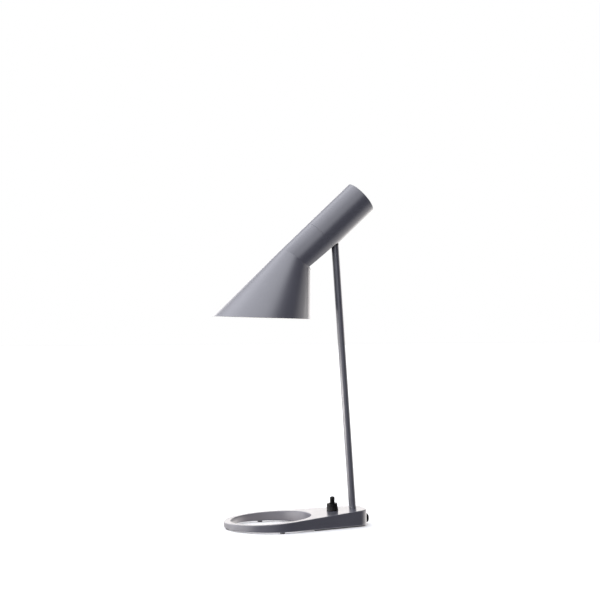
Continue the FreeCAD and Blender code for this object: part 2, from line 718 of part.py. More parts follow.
def lampholder_insert():
    """Ceramic insert on the holder's floor that carries the contact and the shell."""
    floor = HOLDER_START + HOLDER_FLOOR
    return placed(tube(INSERT_R, INSERT_BORE_R, floor, SHELL_AT), HEAD)


def lampholder_shell():
    ring = tube(SHELL_R, SHELL_R - SHELL_T, SHELL_AT, SHELL_AT + SHELL_L)
    floor = tube(SHELL_R, SHELL_HOLE_R, SHELL_AT, SHELL_AT + SHELL_T)
    return placed(ring.fuse(floor).removeSplitter(), HEAD)


def lampholder_contact():
    pin = cylinder(CONTACT_PIN_R, SHELL_AT - CONTACT_PIN_L, SHELL_AT)
    return placed(pin.fuse(cylinder(CONTACT_R, SHELL_AT, BULB_CAP_START)), HEAD)


def bulb_cap():
    """A hollow cap with a solid end; its thread is left plain."""
    start = BULB_CAP_START
    end = start + BULB_CAP_L
    bore = BULB_CAP_R - BULB_CAP_T
    solid = start + BULB_SOLID_L
    profile = [(0, start), (BULB_TIP_R, start), (BULB_CONE_R, start + BULB_CONE_L),
               (BULB_CAP_R, start + BULB_SHOULDER_L), (BULB_CAP_R, end), (bore, end),
               (bore, solid), (0, solid)]
    return placed(turned(profile), HEAD)


def bulb_outline(shell):
    """Arc and neck of the glass, inset by shell, as a profile from the cap to the tip."""
    start = BULB_CAP_START + BULB_CAP_L
    centre = BULB_END - BULB_R
    radius = BULB_R - shell
    neck = BULB_NECK_R - shell
    join = centre - math.sqrt(radius ** 2 - (neck + BULB_FLARE) ** 2)
    tip = Vec(0, 0, centre + radius)
    side = Vec(radius, 0, centre)
    shoulder = Vec(neck + BULB_FLARE, 0, join)
    foot = Vec(neck, 0, start + shell)
    axis_foot = Vec(0, 0, start + shell)
    edges = [
        Part.LineSegment(axis_foot, foot).toShape(),
        Part.LineSegment(foot, shoulder).toShape(),
        Part.Arc(shoulder, side, tip).toShape(),
        Part.LineSegment(tip, axis_foot).toShape()]
    return Part.Face(Part.Wire(edges)).revolve(Vec(0, 0, 0), UP, 360)


def bulb_glass():
    return placed(bulb_outline(0.0).cut(bulb_outline(GLASS_T)), HEAD)


# ---- Switch ----

def switch_body():
    size_x, size_y, size_z = SWITCH_BODY
    block = box(-size_x / 2, size_x / 2, -size_y / 2, size_y / 2, -POCKET_ROOF - size_z, -POCKET_ROOF)
    bush = cylinder(SWITCH_BUSH_R, -POCKET_ROOF, SWITCH_BUSH_TOP)
    under = -POCKET_ROOF - size_z
    bore = cylinder(SWITCH_BORE_R, under + SWITCH_FLOOR, SWITCH_BUSH_TOP + OVER)
    thick, wide = SWITCH_TAG_SIZE
    tags = [box(-SWITCH_TAG_X, -SWITCH_TAG_X + thick, y - wide / 2, y + wide / 2,
                under - SWITCH_TAG_L, under)
            for y in (-SWITCH_TAG_Y, SWITCH_TAG_Y)]
    return placed(union(block, bush, *tags).cut(bore), SWITCH)


def switch_nut():
    """A tall conical nut whose mouth leaves room for the lever's throw."""
    edge = SWITCH_NUT_EDGE
    bevel_out, bevel_down = SWITCH_MOUTH_BEVEL
    profile = [
        (SWITCH_BUSH_R, 0), (SWITCH_NUT_LOW_R, 0), (SWITCH_NUT_TOP_R, SWITCH_NUT_H - edge),
        (SWITCH_NUT_TOP_R - edge, SWITCH_NUT_H), (SWITCH_MOUTH_R + bevel_out, SWITCH_NUT_H),
        (SWITCH_MOUTH_R, SWITCH_NUT_H - bevel_down), (SWITCH_MOUTH_R, SWITCH_BUSH_TOP),
        (SWITCH_BUSH_R, SWITCH_BUSH_TOP)]
    return placed(turned(profile), SWITCH)


def switch_lever():
    """Ball and bat in one; the ball turns in the bush."""
    neck = SWITCH_NUT_H - LEVER_PIVOT_H
    tip = LEVER_TIP_H - LEVER_PIVOT_H
    bat = turned([
        (0, 0), (LEVER_LOW_R, 0), (LEVER_LOW_R, LEVER_STRAIGHT), (LEVER_NECK_R, neck),
        (LEVER_TIP_R, tip - LEVER_DOME), (LEVER_TIP_R - LEVER_DOME, tip), (0, tip)])
    tail = cylinder(LEVER_TAIL_R, -LEVER_TAIL, 0)
    lever = union(Part.makeSphere(LEVER_BALL_R), bat, tail)
    lean = FreeCAD.Placement(Vec(0, 0, LEVER_PIVOT_H), FreeCAD.Rotation(Vec(1, 0, 0), LEVER_LEAN))
    return placed(placed(lever, lean), SWITCH)


# ---- Cord inlet and wiring ----

def along_x(shape):
    """Turn a piece built round Z to lie along +X at the cord inlet, its origin on the rear end."""
    return placed(shape, FreeCAD.Placement(Vec(BASE_REAR, 0, GLAND_Z), rotation_about_y(90)))


def cord_gland():
    """A domed bush; the cord would pass through its bore."""
    dome = turned([
        (0, 0), (GLAND_R, 0), (GLAND_R, GLAND_STRAIGHT), (GLAND_R - 0.7, GLAND_STRAIGHT + 2.0),
        (GLAND_R - 1.9, GLAND_OUT - 0.5), (GLAND_R - 3.6, GLAND_OUT), (0, GLAND_OUT)])
    shank = cylinder(GLAND_SHANK_R, -GLAND_SHANK_IN, 0)
    return along_x(union(dome, shank).cut(cylinder(GLAND_BORE_R, -2 * GLAND_SHANK_IN, LAMP_H)))


def gland_nut():
    return along_x(hexagon(GLAND_NUT_FLATS, -POCKET_WALL - GLAND_NUT_H, -POCKET_WALL, GLAND_SHANK_R))


def block_height():
    return top_height(BLOCK_AT[0] - BLOCK_SIZE[0] / 2) - POCKET_ROOF - BLOCK_GAP - BLOCK_SIZE[2]


def terminal_block():
    x, y = BLOCK_AT
    size_x, size_y, size_z = BLOCK_SIZE
    low = block_height()
    body = box(x - size_x / 2, x + size_x / 2, y - size_y / 2, y + size_y / 2, low, low + size_z)
    for dy in (-BLOCK_WAY, BLOCK_WAY):
        entry = Vec(x - size_x / 2 - 1, y + dy, low + BLOCK_WAY_H)
        body = body.cut(Part.makeCylinder(BLOCK_WAY_R, size_x + 2, entry, Vec(1, 0, 0)))
        for dx in (-BLOCK_SCREW_X, BLOCK_SCREW_X):
            hole = cylinder(BLOCK_SCREW_R, low - OVER, low + BLOCK_WAY_H, x + dx, y + dy)
            body = body.cut(hole)
    return body


def terminal_screws():
    x, y = BLOCK_AT
    low = block_height()
    bottom, top = BLOCK_SCREW_Z
    screws = [cylinder(BLOCK_SCREW_R, low + bottom, low + top, x + dx, y + dy)
              for dx in (-BLOCK_SCREW_X, BLOCK_SCREW_X) for dy in (-BLOCK_WAY, BLOCK_WAY)]
    return Part.makeCompound(screws)


def earth_screw():
    """Earth screw and ring terminal on the pocket's roof."""
    x, y = EARTH_AT
    roof = -POCKET_ROOF
    tag = cylinder(EARTH_TAG_R, roof - EARTH_TAG_T, roof)
    head = cylinder(EARTH_HEAD_R, roof - EARTH_TAG_T - EARTH_HEAD_H, roof - EARTH_TAG_T)
    on_top = FreeCAD.Placement(Vec(x, y, top_height(x)), rotation_about_y(-SLOPE))
    return placed(union(tag, head), on_top)


def switch_leads():
    """Two wires from the switch's tags to the terminal block."""
    x, y = BLOCK_AT
    low = block_height()
    wires = []
    for side in (-1, 1):
        under = -POCKET_ROOF - SWITCH_BODY[2] - WIRE_R - 0.2
        tag = SWITCH.multVec(Vec(-SWITCH_TAG_X, SWITCH_TAG_Y * side, under))
        back = SWITCH.multVec(Vec(-SWITCH_TAG_X - 8 + 2.5 * side, SWITCH_TAG_Y * side, under))
        end = Vec(x - BLOCK_SIZE[0] / 2 + 3, y + BLOCK_WAY * side, low + BLOCK_WAY_H)
        lead_in = Vec(back.x + 1, end.y, end.z)
        wires.append(bent_tube(WIRE_R, [tag, back, lead_in, end], [4.0, 4.0]))
    return Part.makeCompound(wires)


def stem_lead():
    """From the terminal block up the stem to just under the pivot."""
    x, y = BLOCK_AT
    low = block_height()
    start = Vec(x + BLOCK_SIZE[0] / 2, y, low + BLOCK_WAY_H)
    run_out = Vec(start.x + 9, y, start.z)
    foot = STEM.multVec(Vec(0, 0, -NIPPLE_DROP - 4.5))
    top = STEM.multVec(Vec(0, 0, STEM_TO_PIVOT - LEAD_GAP))
    return bent_tube(LEAD_R, [start, run_out, foot, top], [6.0, 5.0])


def head_lead():
    """From just over the pivot, in a loop under the bracket's web, into the lampholder."""
    rise = HEAD.inverse().Rotation.multVec(STEM.Rotation.multVec(UP))
    pivot = Vec(-PIVOT_LOW, 0, PIVOT_ON_TUBE)
    points = [
        pivot + rise * LEAD_GAP, pivot + rise * LEAD_RISE, Vec(LEAD_TOP, 0, PIVOT_ON_TUBE - 9),
        Vec(0, 0, NIPPLE2_START - 7), Vec(0, 0, HOLDER_START + HOLDER_FLOOR - 2)]
    return placed(bent_tube(LEAD_R, points, [5.0, 6.0, 9.0]), HEAD)


PIECES = [
    base_casting, bottom_cover, cover_screws, feet,
    stem_tube, stem_nipple, stem_washer, stem_nut, stem_fork,
    friction_washers, wave_washers, pivot_screws,
    shade, rear_tube, slot_shield, joining_collar, collar_screw, end_cap,
    pivot_bracket, bracket_spacers, bracket_nuts,
    lampholder_nipple, nipple_nuts, lampholder_body, lampholder_insert,
    lampholder_shell, lampholder_contact, bulb_cap, bulb_glass, head_lead,
    switch_body, switch_nut, switch_lever, switch_leads,
    cord_gland, gland_nut, terminal_block, terminal_screws, earth_screw, stem_lead]


def main():
    os.makedirs("parts", exist_ok=True)
    for piece in PIECES:
        shape = piece()
        shape.translate(Vec(-CENTRE_X, 0, 0))
        shape.exportStep(os.path.join("parts", piece.__name__ + ".step"))
        print(piece.__name__, shape.isValid(), len(shape.Solids), round(shape.Volume, 1))
    print("pivot", PIVOT - Vec(CENTRE_X, 0, 0), "on tube", PIVOT_ON_TUBE, "on stem", STEM_TO_PIVOT)
    print("switch ball", SWITCH.multVec(Vec(0, 0, LEVER_PIVOT_H)) - Vec(CENTRE_X, 0, 0))


main()
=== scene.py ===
import json
import math

import bmesh
import bpy
from mathutils import Matrix, Vector


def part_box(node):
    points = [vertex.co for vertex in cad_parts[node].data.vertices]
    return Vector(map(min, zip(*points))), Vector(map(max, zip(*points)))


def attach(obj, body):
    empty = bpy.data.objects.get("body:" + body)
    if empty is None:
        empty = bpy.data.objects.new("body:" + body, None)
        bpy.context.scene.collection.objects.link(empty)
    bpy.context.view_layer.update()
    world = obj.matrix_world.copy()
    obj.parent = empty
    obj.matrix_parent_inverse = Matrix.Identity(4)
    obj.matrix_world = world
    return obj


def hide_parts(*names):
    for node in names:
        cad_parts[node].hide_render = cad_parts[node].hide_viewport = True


# Looks of a desk lamp: a grey satin shade on a tube that tilts on a slim leaning stem, over a
# heavy wedge base with a round hole. Metres and the row frame throughout: the shade opens
# towards -X, +Z is up. The head's place, the rim's size and the feet's height are read from the
# frame; the other sizes are named here.

# ---- Head: measures along the tube are from its rear end ----
TUBE_R = 0.0289
TUBE_ANGLE = math.radians(43.1)     # the tube's axis above the horizontal
SHEET_T = 0.001
SEAM = 0.096                        # joint of shade and rear tube
CREASE_LOW = 0.1476                 # where the tube turns into the cone, at its underside
CREASE_TOP = 0.1586                 # and at its top
CREASE_HALF = 0.0009                # the bend's reach to each side of the crease
CREASE_SHIFT = 0.45                 # of the sheet: the inside's crease is this much further down
RIM_TILT = math.radians(1.8)
SLOT_REAR = 0.073                   # the stem's channel in the tube's underside
SLOT_HALF = 0.0075
MOUTH_AT = 0.0943                   # and the wide mouth ahead of it
MOUTH_R = 0.016
MOUTH_FRONT_HALF = 0.022            # its half width if it ran on to the crease's top
SLOT_LIP = 0.001                    # the opening stops this short of the crease
SEAM_CHAMFER = 0.0003
RIM_ROUND = 0.0003
RIM_ROUND_SHARE = 0.003             # of the cone's length that the rim's rounding takes
STUDS = (0.051, 0.078)
STUD_R = 0.002
STUD_END = 0.0175
STUD_TIP_SHARE = 0.8                # of its radius, left flat at the tip
STUD_CHAMFER = 0.0004

# ---- Base, switch and cord gland ----
RING_X = -0.038193                  # the ring's centre
RING_MID_R = 0.0709
SLOPE = math.radians(4)             # of the base's top, up to the rear
TOP_AT_RING = 0.0164
REAR_FOOT_X = 0.101807
REAR_FOOT_Y = 0.0225
FOOT_R = 0.00395
FOOT_ROUND = 0.0005
FOOT_DISH = ((0.75, 0.0003), (0.82, 0.0001), (0.86, 0.0))   # shares of the sole, and heights
SWITCH_X = 0.066307
SWITCH_BUSH_R = 0.006
SWITCH_BUSH_TOP = 0.008
SWITCH_NUT_LOW_R = 0.0096
SWITCH_NUT_TOP_R = 0.0084
SWITCH_NUT_H = 0.0126
SWITCH_MOUTH_R = 0.0062
NUT_EDGE = 0.0004
NUT_FOOT_CHAMFER = 0.0003
NUT_RIBS = 24
NUT_RIB_DEPTH = 0.0005
NUT_RIB_LOW = 0.0016
NUT_RIB_HIGH = 0.0113
NUT_RIB_RUN = 0.0003                # height over which the ribs start and end
NUT_BORE_MARGIN = 0.001             # points this near the mouth's radius stay without ribs
LEVER_PIVOT_H = 0.004               # ball's centre above the base's top
LEVER_BALL_R = 0.00442
LEVER_LOW_R = 0.0023
LEVER_NECK_R = 0.0038
LEVER_NECK_STEP = 0.0004            # narrowing under the neck
LEVER_NECK_FALL = 0.002             # and the height it takes
LEVER_TIP_R = 0.0041
LEVER_TIP_H = 0.0242
LEVER_DOME = 0.0026
LEVER_DOME_POWER = 0.8              # below 1, the dome is fuller than an ellipse
LEVER_LEAN = math.radians(12)
LEVER_TAIL = 0.009
LEVER_TAIL_R = 0.0012
LEVER_TAIL_SHARE = 0.8              # of its radius, left flat at the tail's end
LEVER_TAIL_CHAMFER = 0.0003
BASE_REAR_X = 0.119407              # the base's flat rear end
GLAND_Z = 0.010
GLAND_R = 0.00775
GLAND_OUT = 0.0085                  # how far it stands out
GLAND_STRAIGHT = 0.0050             # its dome starts here
GLAND_SHANK_R = 0.0055
GLAND_SHANK_IN = 0.011
GLAND_BORE_R = 0.0033
GLAND_PITCH = 0.0012
GLAND_THREAD = 0.0005               # depth of the thread
GLAND_CREST = 0.3                   # of the pitch, where the crest ends
GLAND_ROOT = 0.65                   # and where the root is
GLAND_EDGE = 0.0002
GLAND_LIP = 0.0006                  # rounding of the mouth

# ---- Mesh fineness ----
SLOT_COLUMNS = 24
ROUND_COLUMNS = 120
TUBE_ROWS = 20
CONE_ROWS = 36
BEND_ROWS = 6
ARC_ROWS = 16
EDGE_STEPS = 5                      # points round a small rounded edge
STUD_STEPS = 24
RIB_COLUMNS = 6                     # columns to each rib of the nut
BALL_STEPS = 24
NECK_ROWS = 6
LEVER_DOME_STEPS = 12
LEVER_STEPS = 64
GLAND_DOME_STEPS = 14
GLAND_STEPS = 72
FOOT_STEPS = 48
MERGE = 1e-7                        # points closer than this are one
PIECE_SHARP = math.radians(38)      # edges sharper than this are shaded sharp
NODE_SHARP = math.radians(30)       # and on the CAD nodes

# ---- Camera ----
CAMERA_AT = (-0.68292, -2.40996, 0.35354)
CAMERA_TURN = 16.062                # degrees, from +Y towards +X
CAMERA_RISE = 0.358                 # degrees
CAMERA_LENS = 92.2                  # mm, on the sensor's width below
CAMERA_SENSOR = 36.0
CAMERA_REACH = 100.0

# ---- Light ----
FLOOR_SIZE = 24.0
FLOOR_GLOW = 0.12
BACKDROP = 1.0                      # what the camera sees behind the lamp
FILL = 0.02
COOL = (0.93, 0.94, 1.0)
WARM = (1.0, 0.96, 0.94)
BLUE = (0.84, 0.88, 1.0)
RING_FLOOR_R = 0.058                # lit floor inside the ring's hole
RING_FLOOR_Z = 0.0006
RING_FLOOR_POWER = 0.05
RING_FLOOR_COLOUR = (1.0, 0.91, 0.88)
SCREEN_AT = (-0.95, 0.02, 0.04)      # low screen on the left
SCREEN_FACING = (1, 0, 0)
SCREEN_SIZE = (1.3, 0.08)
SCREEN_POWER = 6.0
# azimuth, elevation, half angles of edge and full, then the sine of the elevation where each
# starts, is full, begins to fade and ends, the strength and the colour
SOFT_BOXES = [
    (252, 25, 84, 60, -0.17, 0.05, 1.1, 1.2, 1.85, COOL),    # large box on the left
    (285, -10, 46, 15, -0.40, -0.30, -0.23, -0.17, 5.0, WARM),  # brighter low on the left
    (5, 0, 80, 50, -1.0, -0.9, 0.03, 0.06, 0.9, WARM),       # white wall and floor behind
    (5, 0, 70, 40, 0.05, 0.09, 0.28, 0.42, 2.05, WARM),      # and higher up
    (60, -25, 64, 20, -1.0, -0.9, 0.0, 0.2, 1.0, WARM),      # floor, rear right
    (82, 0, 36, 12, -0.6, -0.4, 0.4, 0.6, 0.9, WARM),        # wall on the right
    (150, -78, 62, 25, -1.1, -1.0, -0.3, -0.1, 0.95, BLUE),   # floor below, in front
    (340, 37, 40, 15, -0.2, 0.0, 1.1, 1.2, 0.8, COOL),       # soft light in front, above
    (0, 90, 50, 10, 0.3, 0.6, 1.1, 1.2, 1.5, COOL),          # overhead
]

# ---- Noise and nodes ----
NOISE_LOW = 0.3                     # a noise's value where a range starts
NOISE_HIGH = 0.7                    # and where it ends
DRIFT_DETAIL = 4.0
HAZE_DETAIL = 3.0
GRAIN_DETAIL = 2.0
HAZE_FINER = 2.3                    # roughness patches are this much smaller than colour ones
MIX_FACTOR, MIX_A, MIX_B = 0, 6, 7  # the mix node's sockets for colours
MIX_RESULT = 2


# ---- Materials ----

def node_at(tree, kind, x, y, **values):
    node = tree.nodes.new(kind)
    node.location = (x, y)
    for name, value in values.items():
        setattr(node, name, value)
    return node


def noise(tree, place, scale, detail, y):
    node = node_at(tree, "ShaderNodeTexNoise", -700, y)
    node.inputs["Scale"].default_value = scale
    node.inputs["Detail"].default_value = detail
    tree.links.new(place.outputs["Object"], node.inputs["Vector"])
    return node.outputs["Fac"]


def ranged(tree, value, low, high, y):
    """A number that follows a noise between low and high; y is the node's place in the editor."""
    node = node_at(tree, "ShaderNodeMapRange", -450, y)
    node.inputs["From Min"].default_value = NOISE_LOW
    node.inputs["From Max"].default_value = NOISE_HIGH
    node.inputs["To Min"].default_value = low
    node.inputs["To Max"].default_value = high
    tree.links.new(value, node.inputs["Value"])
    return node.outputs["Result"]


def finish_material(name, dark, light, rough, grain, bump, patch=18.0, **sockets):
    """Colour drifts from dark to light over patches, roughness over the range rough, and a fine
    grain (bumps per metre) lifts the surface by bump metres. Other sockets are constants."""
    material = bpy.data.materials.new(name)
    material.use_nodes = True
    tree = material.node_tree
    shader = tree.nodes["Principled BSDF"]
    place = node_at(tree, "ShaderNodeTexCoord", -900, 0)
    drift = noise(tree, place, patch, DRIFT_DETAIL, 300)
    ramp = node_at(tree, "ShaderNodeValToRGB", -450, 300)
    ramp.color_ramp.elements[0].position = NOISE_LOW
    ramp.color_ramp.elements[1].position = NOISE_HIGH
    ramp.color_ramp.elements[0].color = (*dark, 1)
    ramp.color_ramp.elements[1].color = (*light, 1)
    tree.links.new(drift, ramp.inputs["Fac"])
    tree.links.new(ramp.outputs["Color"], shader.inputs["Base Color"])
    haze = noise(tree, place, patch * HAZE_FINER, HAZE_DETAIL, 0)
    tree.links.new(ranged(tree, haze, rough[0], rough[1], 0), shader.inputs["Roughness"])
    texture = noise(tree, place, grain, GRAIN_DETAIL, -300)
    lift = node_at(tree, "ShaderNodeBump", -200, -300)
    lift.inputs["Strength"].default_value = 1.0
    lift.inputs["Distance"].default_value = bump
    tree.links.new(texture, lift.inputs["Height"])
    tree.links.new(lift.outputs["Normal"], shader.inputs["Normal"])
    for socket, value in sockets.items():
        shader.inputs[socket.replace("_", " ")].default_value = value
    return material


def make_materials():
    return {
        "grey_paint": finish_material(
            "satin grey paint", (0.068, 0.068, 0.083), (0.075, 0.075, 0.091), (0.28, 0.32),
            1400, 0.000008, IOR=1.55, Coat_Weight=0.6, Coat_Roughness=0.22),
        "inner_paint": finish_material(
            "cream inside paint", (0.80, 0.77, 0.70), (0.84, 0.81, 0.745), (0.45, 0.55),
            1200, 0.000015),
        "black_paint": finish_material(
            "black paint", (0.016, 0.016, 0.018), (0.024, 0.024, 0.027), (0.42, 0.55),
            1500, 0.00002),
        "zinc_steel": finish_material(
            "zinc plated steel", (0.50, 0.51, 0.52), (0.62, 0.62, 0.60), (0.26, 0.40),
            900, 0.00001, patch=60, Metallic=1.0),
        "brass": finish_material(
            "brass", (0.62, 0.44, 0.17), (0.74, 0.56, 0.26), (0.24, 0.38),
            900, 0.00001, patch=70, Metallic=1.0),
        "black_plastic": finish_material(
            "black moulded plastic", (0.004, 0.004, 0.004), (0.007, 0.007, 0.007), (0.20, 0.27),
            2500, 0.00001, patch=80, IOR=1.22),
        "switch_plastic": finish_material(
            "switch body plastic", (0.03, 0.03, 0.03), (0.05, 0.05, 0.05), (0.5, 0.6),
            2200, 0.00002, patch=80),
        "nylon": finish_material(
            "natural nylon", (0.72, 0.69, 0.60), (0.80, 0.78, 0.71), (0.38, 0.5),
            1800, 0.00001, patch=60),
        "rubber": finish_material(
            "black rubber", (0.012, 0.012, 0.012), (0.03, 0.03, 0.03), (0.6, 0.78),
            2600, 0.00004, patch=120),
        "lead_sheath": finish_material(
            "pale lead sheath", (0.60, 0.58, 0.52), (0.70, 0.68, 0.62), (0.5, 0.62),
            1800, 0.00002, patch=50),
        "bakelite": finish_material(
            "bakelite", (0.016, 0.012, 0.009), (0.035, 0.024, 0.016), (0.16, 0.26),
            1200, 0.000006, patch=90),
        "ceramic": finish_material(
            "glazed ceramic", (0.76, 0.73, 0.67), (0.84, 0.82, 0.77), (0.16, 0.26),
            700, 0.00001, patch=60),
        "bulb_metal": finish_material(
            "bulb cap aluminium", (0.60, 0.60, 0.61), (0.72, 0.72, 0.72), (0.26, 0.38),
            1200, 0.00001, patch=90, Metallic=1.0),
        "bulb_glass": finish_material(
            "opal bulb glass", (0.86, 0.86, 0.83), (0.92, 0.92, 0.90), (0.10, 0.16),
            300, 0.000006, patch=40, Subsurface_Weight=0.25),
    }


# ---- Mesh helpers ----

def mesh_data(name, mesh):
    """The bmesh as mesh data: points that meet are merged, loose ones dropped, faces turned
    outward. The bmesh is freed."""
    bmesh.ops.remove_doubles(mesh, verts=mesh.verts, dist=MERGE)
    loose = [v for v in mesh.verts if not v.link_faces]
    bmesh.ops.delete(mesh, geom=loose, context="VERTS")
    bmesh.ops.recalc_face_normals(mesh, faces=mesh.faces)
    data = bpy.data.meshes.new(name)
    mesh.to_mesh(data)
    mesh.free()
    return data


def add_piece(name, mesh, body, materials):
    for polygon in mesh.polygons:
        polygon.use_smooth = True
    mesh.set_sharp_from_angle(angle=PIECE_SHARP)
    piece = bpy.data.objects.new(name, mesh)
    bpy.context.scene.collection.objects.link(piece)
    for material in materials:
        mesh.materials.append(material)
    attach(piece, body)
    return piece


def shell_mesh(name, outer, inner, present, extra=()):
    """A sheet between two grids of points, rows by columns, closed round in columns. present
    says which cells there are; the sheet's edges are walled. Material 0 is outside, 1 inside."""
    rows, columns = len(outer), len(outer[0])
    mesh = bmesh.new()
    skins = [[[mesh.verts.new(p) for p in row] for row in grid] for grid in (outer, inner)]

    def quad(points, material):
        distinct = list(dict.fromkeys(points))
        if len(distinct) > 2:
            mesh.faces.new(distinct).material_index = material

    def cell(i, j):
        return 0 <= i < rows - 1 and present(i, j % columns)

    def closed(i):
        """Whether the row's two ends meet, so that there is no edge to wall."""
        return all((outer[r][0] - outer[r][-1]).length < MERGE for r in (i, i + 1))

    out, into = skins
    for i in range(rows - 1):
        for j in range(columns):
            if not cell(i, j):
                continue
            k = (j + 1) % columns
            quad([out[i][j], out[i][k], out[i + 1][k], out[i + 1][j]], 0)
            quad([into[i][j], into[i + 1][j], into[i + 1][k], into[i][k]], 1)
            if not cell(i - 1, j):
                quad([out[i][k], out[i][j], into[i][j], into[i][k]], 0)
            if not cell(i + 1, j):
                quad([out[i + 1][j], out[i + 1][k], into[i + 1][k], into[i + 1][j]], 0)
            if not cell(i, j - 1) and not closed(i):
                quad([out[i][j], out[i + 1][j], into[i + 1][j], into[i][j]], 0)
            if not cell(i, j + 1) and not closed(i):
                quad([out[i + 1][k], out[i][k], into[i][k], into[i + 1][k]], 0)
    for build in extra:
        build(mesh)
    return mesh_data(name, mesh)


def lathe(mesh, profile, place, steps, swell=None):
    """Turns (radius, height) points about Z and puts the result at place. swell(turn, r, z)
    gives the radius at a turn, for ribs."""
    rings = []
    for radius, height in profile:
        if radius == 0:
            rings.append([mesh.verts.new(place @ Vector((0, 0, height)))])
            continue
        ring = []
        for i in range(steps):
            turn = 2 * math.pi * i / steps
            r = swell(turn, radius, height) if swell else radius
            ring.append(mesh.verts.new(
                place @ Vector((r * math.cos(turn), r * math.sin(turn), height))))
        rings.append(ring)
    for low, high in zip(rings, rings[1:]):
        for i in range(steps):
            k = (i + 1) % steps
            corners = [low[i % len(low)], low[k % len(low)],
                       high[k % len(high)], high[i % len(high)]]
            distinct = list(dict.fromkeys(corners))
            if len(distinct) > 2:
                mesh.faces.new(distinct)


def turned_piece(name, profile, place, body, material, steps, swell=None):
    mesh = bmesh.new()
    lathe(mesh, profile, place, steps, swell)
    return add_piece(name, mesh_data(name, mesh), body, [material])


# ---- Head ----

class HeadFrame:
    """The tube's own axes, found from the frame: h away from the stem, y across, s along."""

    def __init__(self):
        _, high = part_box("rear_tube")
        shade_low, shade_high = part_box("shade")
        self.down = Vector((-math.cos(TUBE_ANGLE), 0, -math.sin(TUBE_ANGLE)))
        self.away = Vector((-math.sin(TUBE_ANGLE), 0, math.cos(TUBE_ANGLE)))
        self.end = Vector((high.x - TUBE_R * math.sin(TUBE_ANGLE), 0,
                           high.z - TUBE_R * math.cos(TUBE_ANGLE)))
        self.rim_r = (shade_high.y - shade_low.y) / 2
        self.ahead = Vector((-math.cos(RIM_TILT), 0, math.sin(RIM_TILT)))
        front_z = shade_low.z + 2 * self.rim_r * math.sin(RIM_TILT)
        self.rim_centre = Vector((shade_low.x, 0, front_z)) - self.ahead * self.rim_r

    def point(self, h, y, s):
        return self.end + self.away * h + Vector((0, y, 0)) + self.down * s

    def on_tube(self, radius, turn, s):
        """turn is from the tube's underside round towards +Y."""
        return self.point(-radius * math.cos(turn), radius * math.sin(turn), s)

    def on_rim(self, radius, turn):
        """turn is from the rim's rear, to match the tube's."""
        across = Vector((0, radius * math.sin(turn), 0))
        return self.rim_centre - self.ahead * radius * math.cos(turn) + across


def crease_at(turn, low):
    """Place of the crease along the tube; low is where it is at the underside."""
    return (low + CREASE_TOP) / 2 - (CREASE_TOP - low) / 2 * math.cos(turn)


def slot_half_width(s):
    """Half the opening's width at a place along the tube."""
    channel = 0.0
    if s > SLOT_REAR:
        channel = math.sqrt(max(0.0, SLOT_HALF ** 2 - max(0.0, SLOT_REAR + SLOT_HALF - s) ** 2))
    if s < MOUTH_AT:
        return max(channel, math.sqrt(max(0.0, MOUTH_R ** 2 - (MOUTH_AT - s) ** 2)))
    flare = (s - MOUTH_AT) / (CREASE_TOP - MOUTH_AT)
    return MOUTH_R + (MOUTH_FRONT_HALF - MOUTH_R) * flare


def column_turns(half_width):
    """Turns of the columns of a row: some across the opening, the others round the rest."""
    half = math.asin(half_width / TUBE_R)
    across = [-half + 2 * half * i / SLOT_COLUMNS for i in range(SLOT_COLUMNS)]
    rest = [half + (2 * math.pi - 2 * half) * i / ROUND_COLUMNS for i in range(ROUND_COLUMNS)]
    return across + rest


def shade_grid(head, radius, low, rim_radius, chamfer, rim_round):
    """Rows of points of one skin of the shade, from the seam to the rim."""
    rows = [[head.on_tube(radius - chamfer, t, SEAM) for t in column_turns(slot_half_width(SEAM))]]
    start = SEAM + SEAM_CHAMFER
    for i in range(TUBE_ROWS + 1):
        part = i / TUBE_ROWS
        middle = start + (CREASE_LOW - SLOT_LIP - start) * part
        row = []
        for t in column_turns(slot_half_width(middle)):
            place = start + (crease_at(t, low) - SLOT_LIP - start) * part
            row.append(head.on_tube(radius, t, place))
        rows.append(row)
    turns = column_turns(slot_half_width(CREASE_LOW - SLOT_LIP))
    bend, cone = [], []
    for t in turns:
        corner = head.on_tube(radius, t, crease_at(t, low))
        rim = head.on_rim(rim_radius, t)
        before = corner - head.down * CREASE_HALF
        after = corner + (rim - corner).normalized() * CREASE_HALF
        bend.append((before, corner, after))
        cone.append((after, rim))
    for i in range(BEND_ROWS + 1):
        u = i / BEND_ROWS
        rows.append([a * (1 - u) ** 2 + b * 2 * u * (1 - u) + c * u * u for a, b, c in bend])
    for i in range(1, CONE_ROWS + 1):
        rows.append([a.lerp(b, i / CONE_ROWS * (1 - rim_round)) for a, b in cone])
    last = rim_radius - RIM_ROUND if rim_round else rim_radius
    rows.append([head.on_rim(last, t) for t in turns])
    return rows


def build_shade(materials):
    head = HeadFrame()
    inner_low = CREASE_LOW + CREASE_SHIFT * SHEET_T
    outer = shade_grid(head, TUBE_R, CREASE_LOW, head.rim_r, SEAM_CHAMFER,
                       RIM_ROUND_SHARE)
    inner = shade_grid(head, TUBE_R - SHEET_T, inner_low, head.rim_r - SHEET_T, 0.0, 0.0)

    def present(i, j):
        return not (i <= TUBE_ROWS and j < SLOT_COLUMNS)

    mesh = shell_mesh("shade_spun", outer, inner, present)
    piece = add_piece("shade_spun", mesh, "head",
                      [materials["grey_paint"], materials["inner_paint"]])
    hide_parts("shade")


